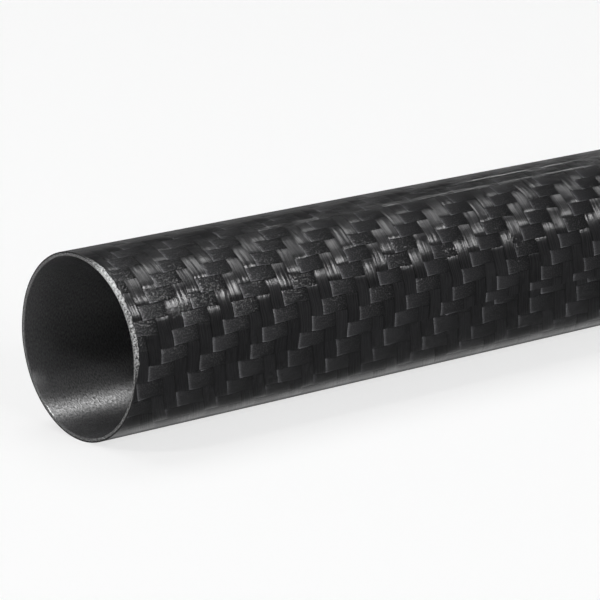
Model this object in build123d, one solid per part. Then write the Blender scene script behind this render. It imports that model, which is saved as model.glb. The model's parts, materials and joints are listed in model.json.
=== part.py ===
"""Carbon fibre tube: one length of roll-wrapped, thin-walled laminate tube.

The tube lies on the plane z = 0 with its axis along X, as a cut length lies on a bench. The origin is under
the middle of its length. Both ends are sawn square and have a small break on the outer and the bore edge.
All sizes are in millimetres.
"""
import os

from build123d import *

# Driving dimensions
LENGTH = 500.0           # a half-metre length, cut square
OUTER_DIAMETER = 25.0
WALL = 0.6               # one outer twill wrap over the inner plies, cured as one laminate
OUTER_EDGE_BREAK = 0.12  # sanded corner between the outside and each sawn face
BORE_EDGE_BREAK = 0.06   # deburred corner between the bore and each sawn face

# Worked out from them
OUTER_RADIUS = OUTER_DIAMETER / 2
BORE_RADIUS = OUTER_RADIUS - WALL
MIDDLE_RADIUS = OUTER_RADIUS - WALL / 2


def tube_blank() -> Part:
    """The wrapped tube along X, centred on the origin, with sharp sawn ends."""
    with BuildPart() as blank:
        with BuildSketch(Plane.YZ):
            Circle(OUTER_RADIUS)
            Circle(BORE_RADIUS, mode=Mode.SUBTRACT)
        extrude(amount=LENGTH / 2, both=True)
    return blank.part


def break_end_edges(blank: Part) -> Part:
    """Breaks the outer corner and then the bore corner of both sawn ends."""
    outer_corners = blank.edges().filter_by(GeomType.CIRCLE).filter_by(
        lambda edge: edge.radius > MIDDLE_RADIUS
    )
    sanded = chamfer(outer_corners, OUTER_EDGE_BREAK)
    bore_corners = sanded.edges().filter_by(GeomType.CIRCLE).filter_by(
        lambda edge: edge.radius < MIDDLE_RADIUS
    )
    return chamfer(bore_corners, BORE_EDGE_BREAK)


def make_tube() -> Part:
    """The finished tube, resting on z = 0."""
    return Pos(0, 0, OUTER_RADIUS) * break_end_edges(tube_blank())


os.makedirs("parts", exist_ok=True)
export_step(make_tube(), "parts/tube.step")
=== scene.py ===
"""Looks of a carbon fibre tube: one length of roll-wrapped laminate tube with a clear-coated twill outside.

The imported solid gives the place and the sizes. This script puts a finely divided tube in its place, with
hand-sawn ends and with the twill of the outer wrap laid round it as a map, and sets a plain white floor, soft
lamps and the camera. Lengths are in metres unless a name ends in MM, and angles in degrees if it ends in DEG.
Round the tube, an angle is counted from the top towards the side that the camera sees. The near end is the
one in the photograph, at the lowest X.
"""

import json
import math

import bpy
import numpy as np
from mathutils import Matrix, Vector


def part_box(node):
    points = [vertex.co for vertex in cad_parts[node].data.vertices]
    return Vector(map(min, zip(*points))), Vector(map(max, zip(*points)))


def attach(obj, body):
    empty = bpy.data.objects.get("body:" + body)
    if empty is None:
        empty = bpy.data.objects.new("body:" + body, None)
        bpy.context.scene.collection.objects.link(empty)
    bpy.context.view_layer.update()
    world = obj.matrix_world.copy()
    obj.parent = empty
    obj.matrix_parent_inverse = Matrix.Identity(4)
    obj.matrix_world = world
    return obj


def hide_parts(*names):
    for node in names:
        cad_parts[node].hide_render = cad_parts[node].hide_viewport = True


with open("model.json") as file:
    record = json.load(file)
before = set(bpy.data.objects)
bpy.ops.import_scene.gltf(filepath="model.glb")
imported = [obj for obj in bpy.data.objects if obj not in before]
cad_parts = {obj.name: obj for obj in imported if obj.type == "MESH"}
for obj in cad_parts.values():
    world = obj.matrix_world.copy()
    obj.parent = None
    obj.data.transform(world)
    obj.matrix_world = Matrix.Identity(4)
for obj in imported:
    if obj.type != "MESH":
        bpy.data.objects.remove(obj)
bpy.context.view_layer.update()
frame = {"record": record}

bl_info = {
    "name": "Carbon fibre tube",
    "version": (1, 0, 0),
    "blender": (4, 5, 0),
    "location": "View3D > Sidebar > Carbon Tube",
    "description": "Makes a clear-coated twill carbon tube and a plain studio for it",
    "category": "Object",
}

MM = 0.001

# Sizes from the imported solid
NODE = "tube"
BODY = "root"
TUBE_LOW, TUBE_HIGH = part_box(NODE)
LENGTH = TUBE_HIGH.x - TUBE_LOW.x
OUTER_RADIUS = (TUBE_HIGH.y - TUBE_LOW.y) / 2
MOUNTS = {mount["name"]: mount for mount in frame["record"]["mounts"]}
BORE_RADIUS = MOUNTS["bore"]["dims"]["r_mm"] * MM
BORE_BREAK = (LENGTH - MOUNTS["bore"]["dims"]["length_mm"] * MM) / 2
OUTER_BREAK = (LENGTH - MOUNTS["outside"]["dims"]["length_mm"] * MM) / 2
AXIS_HEIGHT = OUTER_RADIUS

# In the photograph the outer edge is crisper than the solid's break, and the clear coat ends in a dark line
CRISP_BREAK = 0.25 * OUTER_BREAK
COAT = 0.2 * MM

# How the photograph was taken
PHOTO_SIDE_PIXELS = 600
NEAR_END_PIXEL = (77.95, 347.35)
VIEW_DEPTH = 0.4471
VIEW_AZIMUTH_DEG = 39.64
VIEW_ELEVATION_DEG = 14.78
LENS_MM = 208.55
SENSOR_MM = 36.0

# The near end in the photograph: where its outer edge is rubbed off, and where the painted highlight on that
# rubbed edge is brightest
WEAR_DEG, WEAR_SPREAD_DEG = 54.0, 47.0
SHEEN_PEAK_DEG = 36.0

# The outer wrap. Its cloth was pulled a little out of square below its edge
TWILL_REPEAT = 4         # over two, under two
WEFT_PITCH_MM = 2.065
ROW_PITCH_DEG = 9.17     # one warp tow round the tube, away from the seam
SEAM_DEG = 100.2         # where the cloth's edge lies
SEAM_CREEP_DEG = -4.2    # how far that edge wanders upwards
SEAM_CREEP_MM = (46.0, 68.0)      # and between which places from the near end
FIRST_WARP_MM = 1.93     # a warp float's start in the row above the seam
STRETCH = 0.33           # how much wider the rows below the seam are pulled
STRETCH_FADE_DEG = (50.0, 117.0)  # and between which angles below the seam that fades
LEAN_AT_SEAM = 0.22      # tangent of the wefts' lean at the seam, and further round
LEAN_FULL = 0.58
LEAN_DEG = (30.0, 65.0, 114.3)    # below the seam, where it is full, starts to fade and has faded
DRIFT = 0.075            # share by which the weft pitch is stretched below the seam
DRIFT_MM = (41.0, 90.0, 230.0)    # from the near end, where that starts, stops and is made up for
DRIFT_FADE_DEG = (65.0, 150.0)    # and between which angles below the seam it fades
RIPPLE_ROW = 27.0        # warp row over which the clear coat is rippled

# Single fibres, 0.007 mm wide, are too fine to show. Bundles of them, and the sparks that they throw, are
# drawn as coarse as it takes
BUNDLE_MM = 0.197
BUNDLE_RUN_MM = 6.9
SPARK_MM = 0.2295

PLIES = 5                # in the wall


def linear(hex_colour):
    """An sRGB hex colour as linear RGBA."""
    channels = [int(hex_colour[i:i + 2], 16) / 255 for i in (1, 3, 5)]
    return [c / 12.92 if c <= 0.04045 else ((c + 0.055) / 1.055) ** 2.4 for c in channels] + [1.0]


def add(tree, kind, inputs=None, **settings):
    """Adds a node and returns its outputs. inputs maps a socket's name or number to a value or an output."""
    made = tree.nodes.new(kind)
    for name, value in settings.items():
        setattr(made, name, value)
    for name, value in (inputs or {}).items():
        if isinstance(value, bpy.types.NodeSocket):
            tree.links.new(value, made.inputs[name])
        else:
            made.inputs[name].default_value = value
    return made.outputs


def work_out(tree, known, steps):
    """Adds a node for each step and keeps its first output in known, by the step's name.

    A step is a name, a kind of node with its operation, and its inputs in order, each a value or the name of
    an earlier result. Where only the operation is given, the node is a math node."""
    for name, what, *given in steps:
        kind, operation = what.split() if " " in what else ("ShaderNodeMath", what)
        values = {k: known[g] if isinstance(g, str) else g for k, g in enumerate(given)}
        known[name] = add(tree, kind, values, operation=operation)[0]


def per_tow(size_mm):
    """How often a pattern of that size repeats in one tow of the map twill."""
    return WEFT_PITCH_MM / size_mm


class TubeSettings(bpy.types.PropertyGroup):
    """Sizes of the tube's mesh and of its hand-sawn ends."""

    around: bpy.props.IntProperty(
        name="Segments Round", description="Faces round the tube", default=240, min=24, max=400)
    along: bpy.props.IntProperty(
        name="Segments Along", description="Faces along the outside", default=250, min=2, max=500)
    bore_along: bpy.props.IntProperty(
        name="Segments Along Bore", description="Faces along the bore", default=60, min=2, max=500)
    wear: bpy.props.FloatProperty(
        name="Worn Edge", description="How far the near end's outer edge is rubbed away on top",
        default=0.45 * MM, min=0.0, unit="LENGTH")
    wander: bpy.props.FloatProperty(
        name="Saw Wander", description="How far a sawn end strays from square",
        default=0.12 * MM, min=0.0, unit="LENGTH")
    seed: bpy.props.FloatProperty(
        name="Seed", description="Picks another wander of the saw", default=3.0)


class TwillSettings(bpy.types.PropertyGroup):
    """The outer twill wrap."""

    crimp: bpy.props.FloatProperty(
        name="Crimp", description="Tilt of the fibres where a tow dives under the next",
        default=math.radians(10.5), subtype="ANGLE")
    crown: bpy.props.FloatProperty(
        name="Crown", description="Tilt of a tow's long edges", default=math.radians(4.0), subtype="ANGLE")
    fibre: bpy.props.FloatVectorProperty(
        name="Fibre", description="Colour of the carbon under the coat",
        default=linear("#1b1b1c")[:3], subtype="COLOR", size=3)


class StudioSettings(bpy.types.PropertyGroup):
    """Floor and lamps."""

    key_power: bpy.props.FloatProperty(
        name="Key Power", description="Watts of the soft lamp on the camera's side",
        default=9.0, min=0.0, unit="POWER")
    top_power: bpy.props.FloatProperty(
        name="Top Power", description="Watts of the soft lamp overhead",
        default=6.0, min=0.0, unit="POWER")
    front_power: bpy.props.FloatProperty(
        name="Front Power", description="Watts of the small lamp that shines into the near end from above",
        default=7.0, min=0.0, unit="POWER")
    key_strip_power: bpy.props.FloatProperty(
        name="Key Strip Power", description="Watts of the sheen's strip on the camera's side",
        default=46.0, min=0.0, unit="POWER")
    top_sheen_power: bpy.props.FloatProperty(
        name="Top Sheen Power", description="Watts of the sheen's lamp overhead",
        default=26.0, min=0.0, unit="POWER")
    back_line_power: bpy.props.FloatProperty(
        name="Back Line Power", description="Watts of each narrow lamp behind the tube. A wide one has half",
        default=0.3, min=0.0, unit="POWER")
    bore_power: bpy.props.FloatProperty(
        name="Bore Power", description="Watts of two lamps that light up the bore, beside a faint third",
        default=125.0, min=0.0, unit="POWER")
    floor_colour: bpy.props.FloatVectorProperty(
        name="Floor", description="Paint of the floor",
        default=linear("#f2f2f2")[:3], subtype="COLOR", size=3)


def tube_tree():
    """Geometry Nodes tree: a closed tube of strips between the corners of its wall's section."""
    tree = bpy.data.node_groups.new("roll_wrapped_tube", "GeometryNodeTree")
    face = tree.interface
    face.new_socket("Geometry", in_out="OUTPUT", socket_type="NodeSocketGeometry")
    for kind, names in (
        ("NodeSocketInt", ("Segments Round", "Segments Along", "Bore Segments")),
        ("NodeSocketFloat", ("Length", "Outer Radius", "Bore Radius", "Outer Break", "Bore Break")),
        ("NodeSocketFloat", ("Seam", "Seam Creep", "Creep Start", "Creep End")),
        ("NodeSocketFloat", ("Wear", "Wear Angle", "Wear Spread", "Wander", "Seed")),
        ("NodeSocketMaterial", ("Skin", "Sawn End", "Bore")),
    ):
        for name in names:
            face.new_socket(name, in_out="INPUT", socket_type=kind)
    given = add(tree, "NodeGroupInput")
    known = {socket.name: socket for socket in given if socket.name}
    work_out(tree, known, (
        ("far", "MULTIPLY", "Length", 0.5),
        ("near", "MULTIPLY", "Length", -0.5),
        ("outer_tip", "SUBTRACT", "Outer Radius", "Outer Break"),
        ("bore_tip", "ADD", "Bore Radius", "Bore Break"),
        ("far_outer", "SUBTRACT", "far", "Outer Break"),
        ("far_bore", "SUBTRACT", "far", "Bore Break"),
        ("near_outer", "ADD", "near", "Outer Break"),
        ("near_bore", "ADD", "near", "Bore Break"),
        ("columns", "ADD", "Segments Round", 1.0),
        ("skin_rows", "ADD", "Segments Along", 1.0),
        ("bore_rows", "ADD", "Bore Segments", 1.0),
    ))
    # The wall's section, going round: X and radius of each corner, whether it wears back and inwards, and the
    # strip that leaves it, as its rows and the material that finishes it
    skin, sawn, bore = 0, 1, 2
    corners = (
        ("near_outer", "Outer Radius", 1.0, 0.0, "skin_rows", skin),
        ("far_outer", "Outer Radius", 0.0, 0.0, None, sawn),
        ("far", "outer_tip", 0.0, 0.0, None, sawn),
        ("far", "bore_tip", 0.0, 0.0, None, bore),
        ("far_bore", "Bore Radius", 0.0, 0.0, "bore_rows", bore),
        ("near_bore", "Bore Radius", 0.0, 0.0, None, bore),
        ("near", "bore_tip", 0.0, 0.0, None, sawn),
        ("near", "outer_tip", 0.0, 0.5, None, sawn),
    )
    strips = tree.nodes.new("GeometryNodeJoinGeometry")
    for corner, following in zip(corners, corners[1:] + corners[:1]):
        rows, finish = corner[4:]
        grid = add(tree, "GeometryNodeMeshGrid", {
            "Vertices X": known[rows] if rows else 2, "Vertices Y": known["columns"]})["Mesh"]
        known["t"], known["split"] = add(tree, "ShaderNodeSeparateXYZ", {
            0: add(tree, "GeometryNodeInputPosition")[0]})[:2]
        work_out(tree, known, (("t", "ADD", "t", 0.5),))
        for name, k in (("x", 0), ("radius", 1), ("worn", 2), ("sunk", 3)):
            a, b = (known[c[k]] if isinstance(c[k], str) else c[k] for c in (corner, following))
            known[name] = add(tree, "ShaderNodeMix", {"Factor": known["t"], "A": a, "B": b})[0]
        known["creep"] = add(tree, "ShaderNodeMapRange", {
            "Value": known["x"], "From Min": known["Creep Start"], "From Max": known["Creep End"],
            "To Min": 0.0, "To Max": known["Seam Creep"]}, interpolation_type="SMOOTHSTEP")[0]
        # One column of the mesh follows the cloth's edge
        work_out(tree, known, (
            ("seam", "ADD", "Seam", "creep"),
            ("turn", "MULTIPLY_ADD", "split", -2 * math.pi, "seam"),
            ("sine", "SINE", "turn"),
            ("cosine", "COSINE", "turn"),
            ("share", "DIVIDE", "x", "Length"),
            ("share", "ADD", "share", 0.5),
        ))
        spot = add(tree, "ShaderNodeCombineXYZ", {0: known["cosine"], 1: known["sine"], 2: known["share"]})[0]
        # The saw strays in stretches of half a radius, and a chip is an eighteenth of one
        known["stray"] = add(tree, "ShaderNodeTexNoise", {
            "Vector": spot, "W": known["Seed"], "Scale": 2.0}, noise_dimensions="4D")[0]
        known["chips"] = add(tree, "ShaderNodeTexNoise", {
            "Vector": spot, "W": known["Seed"], "Scale": 18.0}, noise_dimensions="4D")[0]
        work_out(tree, known, (
            # The saw strays inwards at both ends
            ("stray", "MULTIPLY", "stray", "Wander"),
            ("inward", "MULTIPLY_ADD", "share", -2.0, 1.0),
            ("x", "MULTIPLY_ADD", "stray", "inward", "x"),
            # 1 round the wear's angle, falling to 0 at its spread
            ("away", "SUBTRACT", "turn", "Wear Angle"),
            ("away", "WRAP", "away", math.pi, -math.pi),
            ("away", "ABSOLUTE", "away"),
            ("away", "DIVIDE", "away", "Wear Spread"),
            ("away", "MINIMUM", "away", 1.0),
            ("wear", "SUBTRACT", 1.0, "away"),
            ("wear", "MULTIPLY", "wear", 3.0),
            ("wear", "MINIMUM", "wear", 1.0),
            ("chips", "MULTIPLY_ADD", "chips", 1.6, 0.2),
            ("rubbed", "MULTIPLY", "wear", "chips"),
            ("rubbed", "MULTIPLY", "rubbed", "Wear"),
            ("x", "MULTIPLY_ADD", "rubbed", "worn", "x"),
            ("sunk", "MULTIPLY", "sunk", "rubbed"),
            ("radius", "SUBTRACT", "radius", "sunk"),
            ("aside", "MULTIPLY", "radius", -1.0),
            ("y", "MULTIPLY", "aside", "sine"),
            ("z", "MULTIPLY_ADD", "radius", "cosine", "Outer Radius"),
        ))
        point = add(tree, "ShaderNodeCombineXYZ", {0: known["x"], 1: known["y"], 2: known["z"]})[0]
        # The wear is stored while the grid is still flat, as it is worked out from its positions
        strip = add(tree, "GeometryNodeStoreNamedAttribute", {
            "Geometry": grid, "Name": "wear", "Value": known["wear"]}, data_type="FLOAT", domain="POINT")[0]
        strip = add(tree, "GeometryNodeStoreNamedAttribute", {
            "Geometry": strip, "Name": "finish", "Value": finish}, data_type="INT", domain="FACE")[0]
        strip = add(tree, "GeometryNodeSetPosition", {"Geometry": strip, "Position": point})[0]
        tree.links.new(strip, strips.inputs[0])
    shape = add(tree, "GeometryNodeMergeByDistance", {"Geometry": strips.outputs[0], "Distance": 1e-6})[0]
    # The breaks and the ends keep their edges, and the rest is shaded round
    fold = add(tree, "GeometryNodeInputMeshEdgeAngle")[0]
    even = add(tree, "FunctionNodeCompare", {"A": fold, "B": math.radians(6.0)}, operation="LESS_THAN")[0]
    shape = add(tree, "GeometryNodeSetShadeSmooth", {
        "Geometry": shape, "Shade Smooth": even}, domain="EDGE")[0]
    shape = add(tree, "GeometryNodeRealizeInstances", {"Geometry": shape})[0]
    finish = add(tree, "GeometryNodeInputNamedAttribute", {"Name": "finish"}, data_type="INT")[0]
    for number, name in enumerate(("Skin", "Sawn End", "Bore")):
        # The first goes on every face, so that no face and no slot is left without a material
        chosen = add(tree, "FunctionNodeCompare", {
            "A": finish, "B": number}, data_type="INT", operation="GREATER_EQUAL")[0]
        shape = add(tree, "GeometryNodeSetMaterial", {
            "Geometry": shape, "Selection": chosen, "Material": known[name]})[0]
    add(tree, "NodeGroupOutput", {"Geometry": shape})
    return tree


def run_tree(tree, values):
    """Evaluates a Geometry Nodes tree on an empty mesh and returns the plain mesh."""
    carrier = bpy.data.objects.new("tube_maker", bpy.data.meshes.new("tube_maker"))
    bpy.context.scene.collection.objects.link(carrier)
    modifier = carrier.modifiers.new("tube", "NODES")
    modifier.node_group = tree
    for item in tree.interface.items_tree:
        if item.in_out == "INPUT":
            modifier[item.identifier] = values[item.name]
    graph = bpy.context.evaluated_depsgraph_get()
    mesh = bpy.data.meshes.new_from_object(carrier.evaluated_get(graph))
    carrier.modifiers.remove(modifier)
    bpy.data.objects.remove(carrier)
    return mesh


def fade(value, start, end):
    """1 up to start and 0 from end on, smooth between."""
    t = np.clip((value - start) / (end - start), 0, 1)
    return 1 - t * t * (3 - 2 * t)


def summed(step, values):
    """Running integral of values that lie a step apart, starting at 0."""
    return np.concatenate([[0.0], np.cumsum((values[1:] + values[:-1]) / 2) * step])


def twill_count(x, past):
    """Wefts counted along the tube and warp rows counted round it, at x mm from the near end and past degrees
    below the seam. Below the seam the cloth was pulled: its rows are wider and its wefts lean."""
    # Degrees below the seam, from a little above it
    step = 0.25
    turn = np.arange(-20.0, 360.0 + step, step)
    rows = summed(step, 1 / (ROW_PITCH_DEG * (1 + STRETCH * fade(turn, *STRETCH_FADE_DEG))))
    rows -= np.interp(0.0, turn, rows)
    lean = np.interp(turn, (0.0, LEAN_DEG[0]), (LEAN_AT_SEAM, LEAN_FULL)) * fade(turn, *LEAN_DEG[1:])
    shear = summed(step, lean) * math.radians(OUTER_RADIUS / MM)
    shear -= shear[-1]
    drift = DRIFT * np.clip(x - DRIFT_MM[0], 0, DRIFT_MM[1] - DRIFT_MM[0]) * fade(x, *DRIFT_MM[1:])
    along = x - FIRST_WARP_MM - np.interp(past, turn, shear) - drift * fade(past, *DRIFT_FADE_DEG)
    # The rows end on a whole number, so that the row above the seam is a whole one
    return along / WEFT_PITCH_MM, np.interp(past, turn, rows) * round(rows[-1]) / rows[-1]


def seam_angle(x):
    """Where the seam lies round the tube, at x mm from the near end."""
    return SEAM_DEG + SEAM_CREEP_DEG * (1 - fade(x, *SEAM_CREEP_MM))


def lay_maps(mesh, cut):
    """Stores the mesh's two maps. In twill, U counts wefts along the tube and V counts warp rows round it.
    OFBake lays the whole surface flat, with most room for the outside."""
    index = np.empty(len(mesh.loops), int)
    mesh.loops.foreach_get("vertex_index", index)
    co = np.empty(len(mesh.vertices) * 3)
    mesh.vertices.foreach_get("co", co)
    co = co.reshape(-1, 3)[index]
    x = (co[:, 0] - cut) / MM
    theta = np.degrees(np.arctan2(-co[:, 1], co[:, 2] - AXIS_HEIGHT))
    totals = np.empty(len(mesh.polygons), int)
    mesh.polygons.foreach_get("loop_total", totals)
    owner = np.repeat(np.arange(len(totals)), totals)
    # Each face counts its angle from one side of the seam, so that none straddles it
    past = theta - seam_angle(x)
    turn = np.radians(past)
    mid = np.degrees(np.arctan2(np.bincount(owner, np.sin(turn)), np.bincount(owner, np.cos(turn)))) % 360
    past = mid[owner] + (past - mid[owner] + 180) % 360 - 180
    # Above the seam the count starts a whole turn before SEAM_DEG
    u, v = twill_count(x, past + seam_angle(x) - SEAM_DEG)
    twill = mesh.uv_layers.new(name="twill")
    twill.data.foreach_set("uv", np.column_stack([u, v]).astype(np.float32).ravel())

    # Six bars across the map: the outside, the bore and the ends, each its near half and then its far half
    radius = np.hypot(co[:, 1], co[:, 2] - AXIS_HEIGHT)
    share = co[:, 0] / LENGTH + 0.5
    radius_mid = np.bincount(owner, radius) / totals
    far = np.bincount(owner, share) / totals > 0.5
    outside = np.abs(radius_mid - OUTER_RADIUS) < 0.001 * MM
    bore = np.abs(radius_mid - BORE_RADIUS) < 0.001 * MM
    bar = (np.where(outside, 0, np.where(bore, 2, 4)) + far)[owner]
    low = np.array([0.004, 0.330, 0.656, 0.798, 0.940, 0.972])[bar]
    high = np.array([0.322, 0.648, 0.790, 0.932, 0.964, 0.996])[bar]
    inward = (OUTER_RADIUS - radius) / (OUTER_RADIUS - BORE_RADIUS)
    u = np.where(bar < 4, 2 * share - bar % 2, past / 360)
    v = np.where(bar < 4, past / 360, inward)
    flat = mesh.uv_layers.new(name="OFBake")
    flat.data.foreach_set(
        "uv", np.column_stack([0.004 + 0.992 * u, low + (high - low) * v]).astype(np.float32).ravel())


def cut_plane(sizes):
    """X of the near end's cut, halfway through its wander."""
    return TUBE_LOW.x + sizes.wander / 2


def twill_material(settings):
    """Clear-coated carbon twill: a smooth gloss over black tows that flash across their fibres, with lighter
    ends where a tow rises from under the next, painted into the colour as a highlight."""
    material = bpy.data.materials.new("clear_coated_carbon_twill")
    material.use_nodes = True
    tree = material.node_tree
    tree.nodes.clear()
    uv = add(tree, "ShaderNodeUVMap", uv_map="twill")[0]
    # Tow edges wander by about 0.1 mm, in stretches of some 4 mm
    stray = add(tree, "ShaderNodeTexNoise", {"Vector": uv, "Scale": per_tow(4.13), "Detail": 1.0})["Color"]
    stray = add(tree, "ShaderNodeVectorMath", {0: stray, 1: (0.5, 0.5, 0.5)}, operation="SUBTRACT")[0]
    stray = add(tree, "ShaderNodeVectorMath", {
        0: stray, 1: (0.35, 0.3, 0.0), 2: uv}, operation="MULTIPLY_ADD")[0]
    known = dict(zip(("u", "v"), add(tree, "ShaderNodeSeparateXYZ", {0: stray})))
    work_out(tree, known, (
        ("weft", "FLOOR", "u"),
        ("row", "FLOOR", "v"),
        ("count", "ADD", "weft", "row"),
        ("step", "FLOORED_MODULO", "count", float(TWILL_REPEAT)),
        ("lap", "DIVIDE", "count", float(TWILL_REPEAT)),
        ("lap", "FLOOR", "lap"),
        ("warp", "LESS_THAN", "step", TWILL_REPEAT / 2 - 0.5),
        ("in_weft", "SUBTRACT", "u", "weft"),
        ("in_row", "SUBTRACT", "v", "row"),
        ("warp_run", "ADD", "step", "in_weft"),
        ("weft_run", "ADD", "step", "in_row"),
        ("weft_run", "SUBTRACT", "weft_run", TWILL_REPEAT / 2),
    ))
    # What holds where a weft is on top, and where a warp is
    for name, on_weft, on_warp in (
        ("run", "weft_run", "warp_run"),
        ("side", "in_weft", "in_row"),
        ("tow", "weft", "row"),
        ("fibre_way", "v", "u"),
        ("fibre_side", "u", "v"),
    ):
        known[name] = add(tree, "ShaderNodeMix", {
            "Factor": known["warp"], "A": known[on_weft], "B": known[on_warp]})[0]
    known["chance"] = add(tree, "ShaderNodeTexWhiteNoise", {"Vector": add(tree, "ShaderNodeCombineXYZ", {
        0: known["tow"], 1: known["lap"], 2: known["warp"]})[0]})["Value"]
    # Each float has streaks of its own
    work_out(tree, known, (
        ("long", "MULTIPLY", "chance", 40.0),
        ("long", "MULTIPLY_ADD", "fibre_way", per_tow(BUNDLE_RUN_MM), "long"),
        ("fine", "MULTIPLY", "fibre_side", per_tow(BUNDLE_MM)),
        ("layer", "MULTIPLY", "warp", 9.0),
    ))
    known["streak"] = add(tree, "ShaderNodeTexNoise", {"Vector": add(tree, "ShaderNodeCombineXYZ", {
        0: known["long"], 1: known["fine"], 2: known["layer"]})[0],
        "Scale": 1.0, "Detail": 2.0, "Roughness": 0.6})[0]
    known["grain"] = add(tree, "ShaderNodeTexNoise", {
        "Vector": uv, "Scale": per_tow(SPARK_MM), "Detail": 1.0})[0]
    work_out(tree, known, (
        ("along", "SUBTRACT", "run", 1.0),
        ("across", "MULTIPLY_ADD", "side", 2.0, -1.0),
        ("steep", "ABSOLUTE", "along"),
        ("steep", "POWER", "steep", 2.5),
        # A float dives more steeply at its far end
        ("bend", "MULTIPLY_ADD", "along", 0.2, 1.0),
        ("bend", "MULTIPLY", "bend", "along"),
        ("bend", "MULTIPLY", "bend", "steep"),
        ("bend", "MULTIPLY", "bend", math.tan(settings.crimp)),
        # Each bundle and each float lies a little askew, as often one way as the other
        ("bend", "MULTIPLY_ADD", "streak", 0.24, "bend"),
        ("bend", "MULTIPLY_ADD", "chance", 0.14, "bend"),
        ("bend", "SUBTRACT", "bend", 0.19),
        # The warps were held straighter than the wefts
        ("loose", "MULTIPLY_ADD", "warp", -0.7, 1.0),
        ("bend", "MULTIPLY", "bend", "loose"),
        # The sparks on the warps lean towards the near end
        ("dapple", "MULTIPLY_ADD", "grain", -0.38, 0.205),
        ("dapple", "MULTIPLY", "dapple", "warp"),
        ("bend", "ADD", "bend", "dapple"),
        ("crown", "MULTIPLY", "across", math.tan(settings.crown)),
        # Painted highlight: a warp float's end, where its fibres rise from under a weft and turn to the
        # light, is painted lighter and fades across the float, and its lower corner gets a painted line of
        # light
        ("glow", "MULTIPLY_ADD", "run", -2.5, 1.0),
        ("glow", "MAXIMUM", "glow", 0.0),
        ("glow", "POWER", "glow", 3.0),
        ("glow", "MULTIPLY", "glow", "streak"),
        ("glow", "MULTIPLY", "glow", 11.5),
        ("glow", "MULTIPLY_ADD", "run", -0.6, "glow"),
        ("glow", "ADD", "glow", 1.05),
        ("corner", "MULTIPLY_ADD", "run", -0.9, 1.0),
        ("corner", "MAXIMUM", "corner", 0.0),
        ("edge", "MULTIPLY_ADD", "side", 10.0, -9.0),
        ("edge", "MAXIMUM", "edge", 0.0),
        ("corner", "MULTIPLY", "corner", "edge"),
        ("glow", "MULTIPLY_ADD", "corner", 5.5, "glow"),
        # A weft has an even lift of 0.3 in its colour, and no painted highlight
        ("glow", "SUBTRACT", "glow", 0.3),
        ("glow", "MULTIPLY", "glow", "warp"),
        ("glow", "ADD", "glow", 0.3),
        # Dark resin between the tows
        ("gap", "ABSOLUTE", "across"),
        ("gap", "POWER", "gap", 11.0),
        ("gap", "MULTIPLY_ADD", "gap", -0.9, 1.0),
        # The resin between the bundles doesn't shine, and the flat warps only sparkle
        ("shine", "MULTIPLY_ADD", "streak", 14.0, -6.5),
        ("sparkle", "MULTIPLY_ADD", "grain", 13.0, -6.1),
        ("sparkle", "SUBTRACT", "sparkle", "shine"),
        ("shine", "MULTIPLY_ADD", "sparkle", "warp", "shine"),
        ("shine", "MULTIPLY", "shine", "gap"),
        ("shine", "MAXIMUM", "shine", 0.02),
        ("shine", "MINIMUM", "shine", 1.7),
        # Where the bundles shine, they are darker in themselves
        ("shade", "MULTIPLY_ADD", "shine", -0.45, 1.08),
        ("shade", "MULTIPLY_ADD", "grain", 0.25, "shade"),
        ("shade", "MULTIPLY", "shade", "gap"),
        # The painted highlights of the warp ends go into the colour here
        ("shade", "ADD", "shade", "glow"),
        ("tone", "MULTIPLY_ADD", "chance", 0.4, 0.8),
        ("shade", "MULTIPLY", "shade", "tone"),
        # The warps' fibres run a quarter turn from the wefts'
        ("turn", "MULTIPLY", "warp", 0.25),
    ))
    for name, on_weft, on_warp in (("lean_u", "crown", "bend"), ("lean_v", "bend", "crown")):
        lean = add(tree, "ShaderNodeMix", {
            "Factor": known["warp"], "A": known[on_weft], "B": known[on_warp]})[0]
        known[name] = add(tree, "ShaderNodeMath", {0: lean, 1: 0.5, 2: 0.5}, operation="MULTIPLY_ADD")[0]
    lean = add(tree, "ShaderNodeCombineXYZ", {0: known["lean_u"], 1: known["lean_v"], 2: 1.0})[0]
    base = add(tree, "ShaderNodeVectorMath", {0: list(settings.fibre), "Scale": known["shade"]},
               operation="SCALE")[0]
    # Cured epoxy has an IOR of about 1.5. These are lower, because the gloss in the photograph is weaker
    shader = add(tree, "ShaderNodeBsdfPrincipled", {
        "Base Color": base,
        "Roughness": 0.36,
        "IOR": 1.26,
        "Specular Tint": known["shine"],
        "Normal": add(tree, "ShaderNodeNormalMap", {"Color": lean}, uv_map="twill")[0],
        "Tangent": add(tree, "ShaderNodeTangent", direction_type="UV_MAP", uv_map="twill")[0],
        "Anisotropic": 0.95,
        "Anisotropic Rotation": known["turn"],
        "Coat Weight": 0.35,
        "Coat Roughness": 0.04,
        "Coat IOR": 1.3,
        "Coat Normal": add(tree, "ShaderNodeBump", {
            "Height": coat_height(tree, uv), "Distance": 1.0, "Strength": 1.0})[0],
    })[0]
    add(tree, "ShaderNodeOutputMaterial", {"Surface": shader})
    return material


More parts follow.
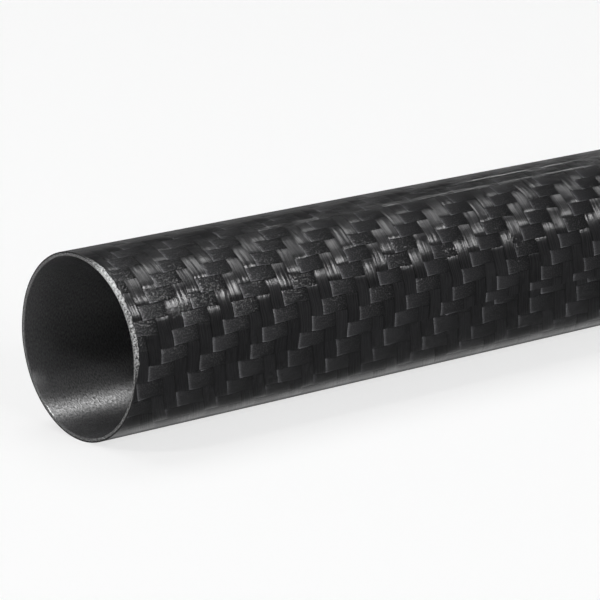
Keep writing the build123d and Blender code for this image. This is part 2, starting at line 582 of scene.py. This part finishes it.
def coat_height(tree, uv):
    """Height of the coat's surface in metres: long faint waves from the wrapping, and patches of fine grain.

    A wave is 69 mm long and 3.44 mm wide, a ripple 103 mm and 0.69 mm, and the grain 0.26 mm, in patches of
    5.9 mm."""
    waves = add(tree, "ShaderNodeVectorMath", {
        0: uv, 1: (per_tow(69), per_tow(3.44), 0.0)}, operation="MULTIPLY")[0]
    ripples = add(tree, "ShaderNodeVectorMath", {
        0: uv, 1: (per_tow(103), per_tow(0.69), 0.0)}, operation="MULTIPLY")[0]
    known = {
        "rows": add(tree, "ShaderNodeSeparateXYZ", {0: uv})[1],
        "wave": add(tree, "ShaderNodeTexNoise", {"Vector": waves, "Scale": 1.0, "Detail": 1.0})[0],
        "ripple": add(tree, "ShaderNodeTexNoise", {
            "Vector": ripples, "Scale": 1.0, "Detail": 3.0, "Roughness": 0.55})[0],
        "grain": add(tree, "ShaderNodeTexNoise", {"Vector": uv, "Scale": per_tow(0.26), "Detail": 1.0})[0],
        "patch": add(tree, "ShaderNodeTexNoise", {"Vector": uv, "Scale": per_tow(5.9), "Detail": 0.0})[0],
    }
    work_out(tree, known, (
        ("patch", "MULTIPLY_ADD", "patch", 6.0, -3.2),
        ("patch", "MAXIMUM", "patch", 0.0),
        ("patch", "MINIMUM", "patch", 1.0),
        ("grain", "MULTIPLY", "grain", "patch"),
        ("grain", "MULTIPLY", "grain", 0.05 * MM),
        ("height", "MULTIPLY_ADD", "wave", 0.02 * MM, "grain"),
        # The ripples run along the top of the tube as it lies in the photograph
        ("top", "SUBTRACT", "rows", RIPPLE_ROW),
        ("top", "ABSOLUTE", "top"),
        ("top", "MULTIPLY_ADD", "top", -0.5, 1.6),
        ("top", "MAXIMUM", "top", 0.12),
        ("top", "MINIMUM", "top", 1.0),
        ("ripple", "MULTIPLY", "ripple", "top"),
        ("height", "MULTIPLY_ADD", "ripple", 0.018 * MM, "height"),
    ))
    return known["height"]


def bore_material():
    """Bore as it came off the mandrel: satin black resin with fine rings, which draw a lamp out lengthwise.

    A ring is 0.3 mm wide and runs for 2.6 mm, and the strokes of the grain are 0.19 mm by 0.41 mm."""
    material = bpy.data.materials.new("mandrel_moulded_bore")
    material.use_nodes = True
    tree = material.node_tree
    tree.nodes.clear()
    uv = add(tree, "ShaderNodeUVMap", uv_map="twill")[0]
    rings = add(tree, "ShaderNodeVectorMath", {
        0: uv, 1: (per_tow(0.3), per_tow(2.6), 0.0)}, operation="MULTIPLY")[0]
    ring = add(tree, "ShaderNodeTexNoise", {"Vector": rings, "Scale": 1.0, "Detail": 2.0})[0]
    strokes = add(tree, "ShaderNodeVectorMath", {
        0: uv, 1: (per_tow(0.19), per_tow(0.41), 0.0)}, operation="MULTIPLY")[0]
    grain = add(tree, "ShaderNodeTexNoise", {"Vector": strokes, "Scale": 1.0, "Detail": 2.0})[0]
    shade = add(tree, "ShaderNodeMath", {0: grain, 1: 0.5}, operation="ADD")[0]
    shine = add(tree, "ShaderNodeMath", {0: grain, 1: 4.0, 2: -1.0}, operation="MULTIPLY_ADD")[0]
    shader = add(tree, "ShaderNodeBsdfPrincipled", {
        "Base Color": add(tree, "ShaderNodeVectorMath", {0: linear("#4c4c4d")[:3], "Scale": shade},
                          operation="SCALE")[0],
        "Roughness": add(tree, "ShaderNodeMath", {0: ring, 1: 0.2, 2: 0.3}, operation="MULTIPLY_ADD")[0],
        "Specular Tint": shine,
        "Normal": add(tree, "ShaderNodeBump", {"Height": grain, "Distance": 0.012 * MM, "Strength": 1.0})[0],
        "Tangent": add(tree, "ShaderNodeTangent", direction_type="UV_MAP", uv_map="twill")[0],
        "Anisotropic": 1.0,
    })[0]
    add(tree, "ShaderNodeOutputMaterial", {"Surface": shader})
    return material


def sawn_material():
    """Sawn laminate: dull grey resin dust over black plies, rubbed to speckled fibre ends on top. The rubbed
    band is painted bright, partly for the bare fibre and partly as a painted highlight that is brightest at
    one angle round the end.
    """
    material = bpy.data.materials.new("sawn_carbon_laminate")
    material.use_nodes = True
    tree = material.node_tree
    tree.nodes.clear()
    place = add(tree, "ShaderNodeTexCoord")["Object"]
    radial = add(tree, "ShaderNodeVectorMath", {
        0: place, 1: (0.0, 0.0, AXIS_HEIGHT)}, operation="SUBTRACT")[0]
    radial = add(tree, "ShaderNodeVectorMath", {0: radial, 1: (0.0, 1.0, 1.0)}, operation="MULTIPLY")[0]
    # Painted highlight: the way round the end towards which the rubbed band is painted brightest
    painted_sheen_way = (0.0, -math.sin(math.radians(SHEEN_PEAK_DEG)), math.cos(math.radians(SHEEN_PEAK_DEG)))
    known = {
        "radius": add(tree, "ShaderNodeVectorMath", {0: radial}, operation="LENGTH")["Value"],
        "row": add(tree, "ShaderNodeSeparateXYZ", {0: add(tree, "ShaderNodeUVMap", uv_map="twill")[0]})["Y"],
        "wear": add(tree, "ShaderNodeAttribute", attribute_name="wear")["Fac"],
        "white": add(tree, "ShaderNodeVectorMath", {0: radial, 1: painted_sheen_way}, operation="DOT_PRODUCT")["Value"],
        "stretch": add(tree, "ShaderNodeTexNoise", {
            "Vector": place, "Scale": 1 / (6.25 * MM), "Detail": 2.0})[0],
    }
    # Fibre ends too are drawn as coarse as it takes: strokes 0.34 mm long round the wall and 0.15 mm wide.
    # The painted highlight comes in bright and dull stretches of some 6 mm
    work_out(tree, known, (
        ("around", "MULTIPLY", "row", per_tow(0.34)),
        ("inward", "DIVIDE", "radius", 0.15 * MM),
    ))
    known["grain"] = add(tree, "ShaderNodeTexNoise", {"Vector": add(tree, "ShaderNodeCombineXYZ", {
        0: known["around"], 1: known["inward"]})[0], "Scale": 1.0, "Detail": 2.0})[0]
    work_out(tree, known, (
        # Painted highlight, strongest at SHEEN_PEAK_DEG and falling off steeply round the end
        ("white", "DIVIDE", "white", "radius"),
        ("white", "MAXIMUM", "white", 0.0),
        ("white", "POWER", "white", 30.0),
        ("white", "MULTIPLY_ADD", "white", 0.95, 0.25),
        # The plies are faint rings
        ("ply", "MULTIPLY", "radius", 2 * math.pi * PLIES / (OUTER_RADIUS - BORE_RADIUS)),
        ("ply", "SINE", "ply"),
        ("grain", "SUBTRACT", "grain", 0.5),
        ("rough", "MULTIPLY_ADD", "wear", 5.0, 2.2),
        # The rubbed band is painted lighter: bare fibre, with the painted highlight in stretches on top
        ("shade", "MULTIPLY_ADD", "stretch", 4.5, -0.9),
        ("shade", "MULTIPLY", "shade", "white"),
        ("shade", "MULTIPLY_ADD", "shade", "wear", 0.62),
        ("shade", "MULTIPLY_ADD", "grain", "rough", "shade"),
        ("shade", "MULTIPLY_ADD", "ply", 0.12, "shade"),
        ("shade", "MAXIMUM", "shade", 0.15),
        ("shade", "MINIMUM", "shade", 3.0),
        # The clear coat's edge is a dark line round the ply ends, where it isn't rubbed off
        ("rim", "SUBTRACT", "radius", OUTER_RADIUS - COAT),
        ("rim", "GREATER_THAN", "rim", 0.0),
        ("kept", "SUBTRACT", 1.0, "wear"),
        ("rim", "MULTIPLY", "rim", "kept"),
        ("rim", "MULTIPLY_ADD", "rim", -0.85, 1.0),
        ("shade", "MULTIPLY", "shade", "rim"),
    ))
    shader = add(tree, "ShaderNodeBsdfPrincipled", {
        "Base Color": add(tree, "ShaderNodeVectorMath", {0: linear("#848484")[:3], "Scale": known["shade"]},
                          operation="SCALE")[0],
        "Roughness": 0.7,
        "Specular IOR Level": 0.1,
    })[0]
    add(tree, "ShaderNodeOutputMaterial", {"Surface": shader})
    return material


class MakeTube(bpy.types.Operator):
    """Make the roll-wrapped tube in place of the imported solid"""

    bl_idname = "object.carbon_tube_make"
    bl_label = "Make Tube"

    def execute(self, context):
        sizes = context.scene.carbon_tube
        mesh = run_tree(tube_tree(), {
            "Segments Round": sizes.around,
            "Segments Along": sizes.along,
            "Bore Segments": sizes.bore_along,
            "Length": LENGTH,
            "Outer Radius": OUTER_RADIUS,
            "Bore Radius": BORE_RADIUS,
            "Outer Break": CRISP_BREAK,
            "Bore Break": BORE_BREAK,
            "Seam": math.radians(SEAM_DEG),
            "Seam Creep": math.radians(SEAM_CREEP_DEG),
            "Creep Start": cut_plane(sizes) + SEAM_CREEP_MM[0] * MM,
            "Creep End": cut_plane(sizes) + SEAM_CREEP_MM[1] * MM,
            "Wear": sizes.wear,
            "Wear Angle": math.radians(WEAR_DEG),
            "Wear Spread": math.radians(WEAR_SPREAD_DEG),
            "Wander": sizes.wander,
            "Seed": sizes.seed,
            "Skin": twill_material(context.scene.carbon_twill),
            "Sawn End": sawn_material(),
            "Bore": bore_material(),
        })
        if not mesh.polygons:
            raise RuntimeError("the tube came out empty")
        mesh.name = "carbon_tube"
        # The grids bring an empty slot of their own
        mesh.materials.pop(index=0)
        if None in list(mesh.materials) or len(mesh.materials) != 3:
            raise RuntimeError("the tube's materials aren't the three that it was given")
        lay_maps(mesh, cut_plane(sizes))
        tube = bpy.data.objects.new("carbon_tube", mesh)
        context.scene.collection.objects.link(tube)
        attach(tube, BODY)
        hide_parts(NODE)
        return {"FINISHED"}


def place_camera(context):
    """Camera at the photograph's angle, with the near end at its place in the picture."""
    azimuth, elevation = math.radians(VIEW_AZIMUTH_DEG), math.radians(VIEW_ELEVATION_DEG)
    right = Vector((math.cos(azimuth), -math.sin(azimuth), 0))
    level = Vector((math.sin(azimuth), math.cos(azimuth), 0))
    forward = level * math.cos(elevation) - Vector((0, 0, math.sin(elevation)))
    up = right.cross(forward)
    per_pixel = SENSOR_MM / PHOTO_SIDE_PIXELS / LENS_MM * VIEW_DEPTH
    middle = PHOTO_SIDE_PIXELS / 2
    aside = (NEAR_END_PIXEL[0] - middle) * per_pixel
    below = (NEAR_END_PIXEL[1] - middle) * per_pixel
    near_end = Vector((cut_plane(context.scene.carbon_tube), 0, AXIS_HEIGHT))
    data = bpy.data.cameras.new("photo_camera")
    data.lens = LENS_MM
    data.sensor_width = SENSOR_MM
    data.clip_start = 0.01
    data.clip_end = 100
    camera = bpy.data.objects.new("photo_camera", data)
    context.scene.collection.objects.link(camera)
    turn = Matrix((right, up, -forward)).transposed().to_4x4()
    turn.translation = near_end - right * aside + up * below - forward * VIEW_DEPTH
    camera.matrix_world = turn
    context.scene.camera = camera


def lamp(context, name, power, reach, width, angle_deg, distance):
    """Area lamp that faces the tube squarely, at an angle round it and a distance from its axis.

    reach is where it starts and ends along the tube, measured from the near end."""
    angle = math.radians(angle_deg)
    away = Vector((0, -math.sin(angle), math.cos(angle)))
    along = Vector((1, 0, 0))
    data = bpy.data.lights.new(name, "AREA")
    data.shape = "RECTANGLE"
    data.size, data.size_y = reach[1] - reach[0], width
    data.energy = power
    made = bpy.data.objects.new(name, data)
    context.scene.collection.objects.link(made)
    turn = Matrix((along, away.cross(along), away)).transposed().to_4x4()
    turn.translation = Vector((TUBE_LOW.x + sum(reach) / 2, 0, AXIS_HEIGHT)) + away * distance
    made.matrix_world = turn
    made.visible_camera = False
    return made


def floor_material(settings):
    """Matt white floor paint: pure white to the eye, and darker only where the tube shades it. To the gloss
    it glows instead, as a painted reflection: a pale band under the tube and a dark floor beyond.
    """
    material = bpy.data.materials.new("matt_white_floor_paint")
    material.use_nodes = True
    tree = material.node_tree
    tree.nodes.clear()
    seen = add(tree, "ShaderNodeLightPath")
    known = {name: seen[name] for name in ("Is Camera Ray", "Is Glossy Ray")}
    place = add(tree, "ShaderNodeTexCoord")["Object"]
    known["distance"] = add(tree, "ShaderNodeVectorMath", {0: place}, operation="LENGTH")["Value"]
    known["across"] = add(tree, "ShaderNodeSeparateXYZ", {0: place})[1]
    work_out(tree, known, (("across", "ABSOLUTE", "across"),))
    # Painted reflection: to the gloss the floor glows as a pale band under the tube, and dark beyond. For the
    # camera, the paint would look grey out of the lamps' reach
    for name, value, *span in (
        ("under", "across", 3.6 * MM, 5.4 * MM, -0.06, 0.8),
        ("near", "across", 6.2 * MM, 8.0 * MM, 1.0, 0.0),
        ("plain", "distance", 0.5, 2.0, 0.7, 1.0),
    ):
        known[name] = add(tree, "ShaderNodeMapRange", {
            "Value": known[value], "From Min": span[0], "From Max": span[1],
            "To Min": span[2], "To Max": span[3]}, interpolation_type="SMOOTHSTEP")[0]
    work_out(tree, known, (
        # Painted reflection: the floor's glow as the gloss sees it
        ("mirrored", "MULTIPLY_ADD", "under", "near", 0.16 - 1.0),
        ("strength", "MULTIPLY_ADD", "mirrored", "Is Glossy Ray", 1.0),
        ("share", "MULTIPLY", "Is Camera Ray", "plain"),
        ("share", "MAXIMUM", "share", "Is Glossy Ray"),
    ))
    paint = add(tree, "ShaderNodeBsdfPrincipled", {
        "Base Color": [*settings.floor_colour, 1.0], "Roughness": 0.9, "Specular IOR Level": 0.0})[0]
    white = add(tree, "ShaderNodeEmission", {"Color": (1, 1, 1, 1), "Strength": known["strength"]})[0]
    mixed = add(tree, "ShaderNodeMixShader", {0: known["share"], 1: paint, 2: white})[0]
    add(tree, "ShaderNodeOutputMaterial", {"Surface": mixed})
    return material


def studio_world(context):
    """Surroundings: pale at the horizon and dim overhead, as in a room with its lamps on the object."""
    world = bpy.data.worlds.new("studio")
    world.use_nodes = True
    tree = world.node_tree
    tree.nodes.clear()
    height = add(tree, "ShaderNodeSeparateXYZ", {0: add(tree, "ShaderNodeTexCoord")["Generated"]})[2]
    known = {"Is Glossy Ray": add(tree, "ShaderNodeLightPath")["Is Glossy Ray"]}
    # The gloss mirrors the room less bright than the camera and the plain surfaces find it
    work_out(tree, known, (
        ("horizon", "MULTIPLY_ADD", "Is Glossy Ray", -0.7, 1.0),
        ("overhead", "MULTIPLY_ADD", "Is Glossy Ray", -0.08, 0.15),
    ))
    level = add(tree, "ShaderNodeMapRange", {
        "Value": height, "From Min": 0.05, "From Max": 0.16,
        "To Min": known["horizon"], "To Max": known["overhead"]}, interpolation_type="SMOOTHSTEP")[0]
    glow = add(tree, "ShaderNodeBackground", {"Color": (1, 1, 1, 1), "Strength": level})[0]
    add(tree, "ShaderNodeOutputWorld", {"Surface": glow})
    context.scene.world = world


class MakeStudio(bpy.types.Operator):
    """Make the floor, the lamps, the surroundings and the camera"""

    bl_idname = "scene.carbon_tube_studio"
    bl_label = "Make Studio"

    def execute(self, context):
        studio = context.scene.carbon_studio
        mesh = bpy.data.meshes.new("studio_floor")
        radius = 6.0
        sides = 96
        angles = [2 * math.pi * k / sides for k in range(sides)]
        mesh.from_pydata([(radius * math.cos(a), radius * math.sin(a), 0.0) for a in angles], [],
                         [list(range(sides))])
        floor = bpy.data.objects.new("studio_floor", mesh)
        context.scene.collection.objects.link(floor)
        mesh.materials.append(floor_material(studio))
        # The plain level of the light comes from lamps that don't show in the gloss
        for plain in (
            lamp(context, "key_lamp", studio.key_power, (-0.3, 0.6), 0.5, 64, 1.2),
            lamp(context, "top_lamp", studio.top_power, (-0.35, 0.6), 0.5, -22, 1.1),
            lamp(context, "front_lamp", studio.front_power, (-1.0, -0.8), 0.12, -2, 1.0),
        ):
            plain.visible_glossy = False
        # The sheen of the fibres and of the bore comes from lamps that show in the gloss alone
        for sheen in (
            lamp(context, "key_strip", studio.key_strip_power, (-0.1, 0.72), 0.25, 44, 1.15),
            lamp(context, "top_sheen", studio.top_sheen_power, (-0.1, 0.62), 0.48, 10, 1.12),
            lamp(context, "back_line", studio.back_line_power, (0.93, 1.35), 0.03, -61, 1.0),
            lamp(context, "back_thread", studio.back_line_power, (0.8, 1.35), 0.02, -40, 1.0),
            lamp(context, "back_sheen", studio.back_line_power * 0.5, (0.5, 1.3), 0.25, -76, 1.0),
            lamp(context, "bore_sheen", studio.bore_power * 0.2, (-0.9, -0.5), 0.16, -6, 1.0),
            lamp(context, "bore_deep", studio.bore_power * 0.8, (-1.5, -0.9), 0.16, -18, 1.0),
            lamp(context, "bore_haze", studio.bore_power * 0.08, (-1.7, -1.1), 0.4, 26, 1.0),
        ):
            sheen.visible_diffuse = False
        studio_world(context)
        place_camera(context)
        context.scene.view_settings.view_transform = "Standard"
        return {"FINISHED"}


class TubePanel(bpy.types.Panel):
    """Lists the settings and the two operators"""

    bl_idname = "VIEW3D_PT_carbon_tube"
    bl_label = "Carbon Tube"
    bl_space_type = "VIEW_3D"
    bl_region_type = "UI"
    bl_category = "Carbon Tube"

    def draw(self, context):
        scene = context.scene
        for group, operator in (
            (scene.carbon_tube, None),
            (scene.carbon_twill, MakeTube),
            (scene.carbon_studio, MakeStudio),
        ):
            for name in group.__annotations__:
                self.layout.prop(group, name)
            if operator:
                self.layout.operator(operator.bl_idname)


GROUPS = {"carbon_tube": TubeSettings, "carbon_twill": TwillSettings, "carbon_studio": StudioSettings}
CLASSES = (*GROUPS.values(), MakeTube, MakeStudio, TubePanel)


def register():
    for kind in CLASSES:
        bpy.utils.register_class(kind)
    for name, kind in GROUPS.items():
        setattr(bpy.types.Scene, name, bpy.props.PointerProperty(type=kind))


def unregister():
    for name in GROUPS:
        delattr(bpy.types.Scene, name)
    for kind in reversed(CLASSES):
        bpy.utils.unregister_class(kind)


def main():
    register()
    bpy.ops.object.carbon_tube_make()
    bpy.ops.scene.carbon_tube_studio()


if __name__ == "__main__":
    main()
